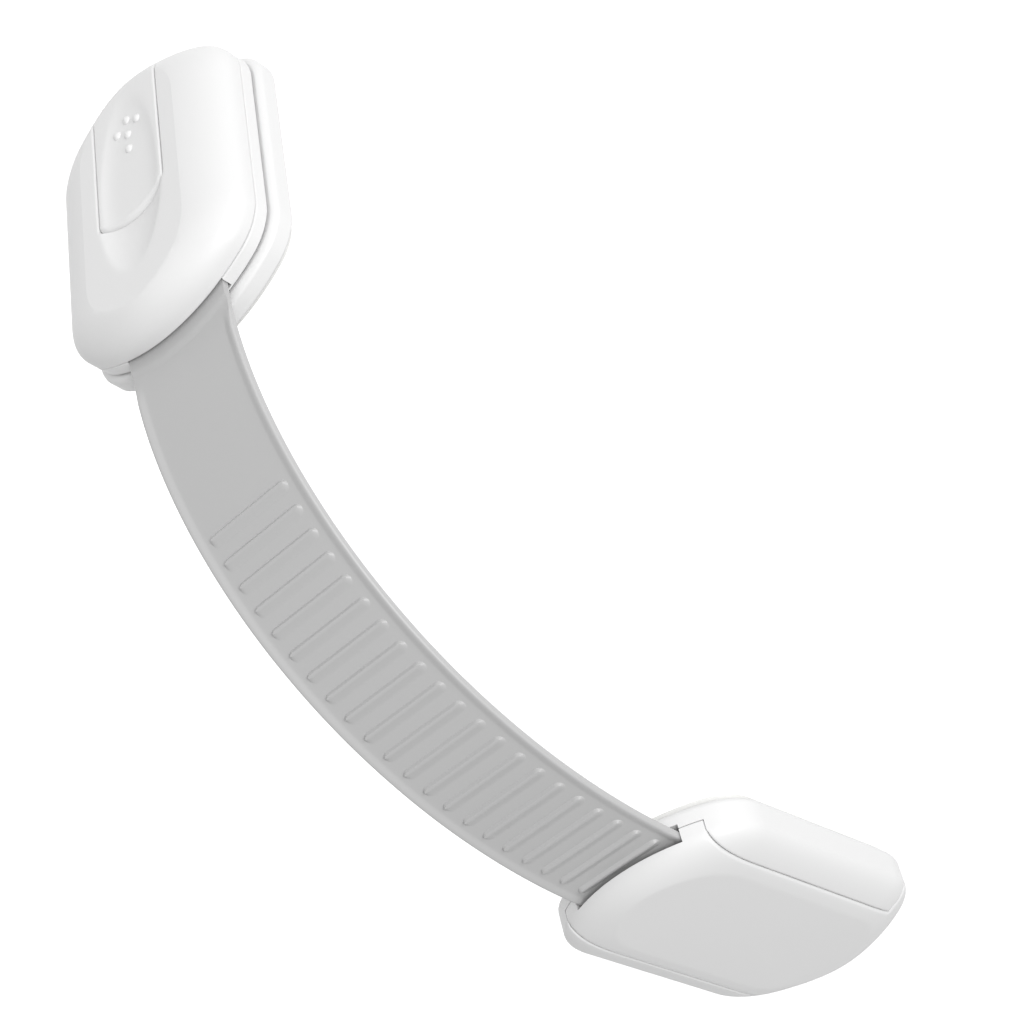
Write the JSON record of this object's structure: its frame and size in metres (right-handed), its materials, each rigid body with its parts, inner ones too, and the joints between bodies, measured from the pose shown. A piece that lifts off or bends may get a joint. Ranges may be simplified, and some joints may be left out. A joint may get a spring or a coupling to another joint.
{
  "type": "cabinet safety lock",
  "caption": "Adhesive cabinet safety lock: a bent ribbed strap joins an adjuster pad with a flip lid to a latch pad whose head is freed by a press button",
  "frame": {"origin": "the middle of the adjuster pad's adhesive face", "axes": "+Z out of the adjuster, +Y from the adjuster along the strap, X across the strap"},
  "size_m": [0.037, 0.1223, 0.1168],
  "materials": {
    "white_plastic": "satin moulded ABS",
    "strap_plastic": "flexible moulded plastic",
    "foam_tape": "closed-cell foam adhesive tape",
    "steel": "plated steel"
  },
  "bodies": {
    "root": {"adjuster_tape": "foam_tape", "adjuster_base": "white_plastic", "lid_hinge_pin": "steel"},
    "lid": {"adjuster_lid": "white_plastic", "ratchet_pawl": "white_plastic"},
    "strap_tail": {"strap_tail": "strap_plastic"},
    "strap_1": {"strap_length_1": "strap_plastic"},
    "strap_2": {"strap_length_2": "strap_plastic"},
    "strap_3": {"strap_length_3": "strap_plastic"},
    "strap_4": {"strap_length_4": "strap_plastic"},
    "strap_5": {"strap_length_5": "strap_plastic"},
    "strap_6": {"strap_length_6": "strap_plastic"},
    "head": {"strap_root": "strap_plastic", "head_cover": "white_plastic", "head_bottom_plate": "white_plastic", "head_screws": "steel", "button_pivot_pin": "steel", "button_spring": "steel"},
    "button": {"release_button": "white_plastic", "release_hook": "white_plastic"},
    "latch_base": {"latch_base_plate": "white_plastic", "latch_tape": "foam_tape"}
  },
  "joints": [
    {"name": "lid_open", "type": "hinge", "parent": "root", "child": "lid", "pos_m": [0, -0.02245, 0.0053], "axis": [1, 0, 0], "range_deg": [0, 60]},
    {"name": "strap_adjust", "type": "slide", "parent": "root", "child": "strap_tail", "axis": [0, 1, 0], "range_m": [-0.0036, 0.0144], "deforming": ["ratchet_pawl"]},
    {"name": "strap_bend_1", "type": "hinge", "parent": "strap_tail", "child": "strap_1", "pos_m": [0, 0.0268, 0.00481], "axis": [1, 0, 0], "range_deg": [0, 12.99]},
    {"name": "strap_bend_2", "type": "hinge", "parent": "strap_1", "child": "strap_2", "pos_m": [0, 0.04436, 0.00076], "axis": [1, 0, 0], "range_deg": [0, 12.6]},
    {"name": "strap_bend_3", "type": "hinge", "parent": "strap_2", "child": "strap_3", "pos_m": [0, 0.06061, -0.00702], "axis": [1, 0, 0], "range_deg": [0, 14.11]},
    {"name": "strap_bend_4", "type": "hinge", "parent": "strap_3", "child": "strap_4", "pos_m": [0, 0.07447, -0.01852], "axis": [1, 0, 0], "range_deg": [0, 15.61]},
    {"name": "strap_bend_5", "type": "hinge", "parent": "strap_4", "child": "strap_5", "pos_m": [0, 0.08472, -0.03333], "axis": [1, 0, 0], "range_deg": [0, 14.15]},
    {"name": "strap_bend_6", "type": "hinge", "parent": "strap_5", "child": "strap_6", "pos_m": [0, 0.08902, -0.04478], "axis": [1, 0, 0], "range_deg": [0, 12.29]},
    {"name": "strap_bend_7", "type": "hinge", "parent": "strap_6", "child": "head", "pos_m": [0, 0.09077, -0.05689], "axis": [1, 0, 0], "range_deg": [0, 14.1]},
    {"name": "button_press", "type": "hinge", "parent": "head", "child": "button", "pos_m": [0, 0.09073, -0.08122], "axis": [-1, 0, 0], "range_deg": [0, 4.2], "stiffness_Nm_per_rad": 0.01, "springref_deg": -8.59, "deforming": ["button_spring"]},
    {"name": "head_release", "type": "slide", "parent": "head", "child": "latch_base", "axis": [0, -0.9948, 0.1019], "range_m": [0, 0.018], "deforming": ["release_hook"]}
  ],
  "couplings": [
    {"joint": "strap_bend_2", "follows": "strap_bend_1", "ratio": 0.97027},
    {"joint": "strap_bend_3", "follows": "strap_bend_1", "ratio": 1.0862},
    {"joint": "strap_bend_4", "follows": "strap_bend_1", "ratio": 1.2021},
    {"joint": "strap_bend_5", "follows": "strap_bend_1", "ratio": 1.0899},
    {"joint": "strap_bend_6", "follows": "strap_bend_1", "ratio": 0.94656},
    {"joint": "strap_bend_7", "follows": "strap_bend_1", "ratio": 1.0859}
  ]
}
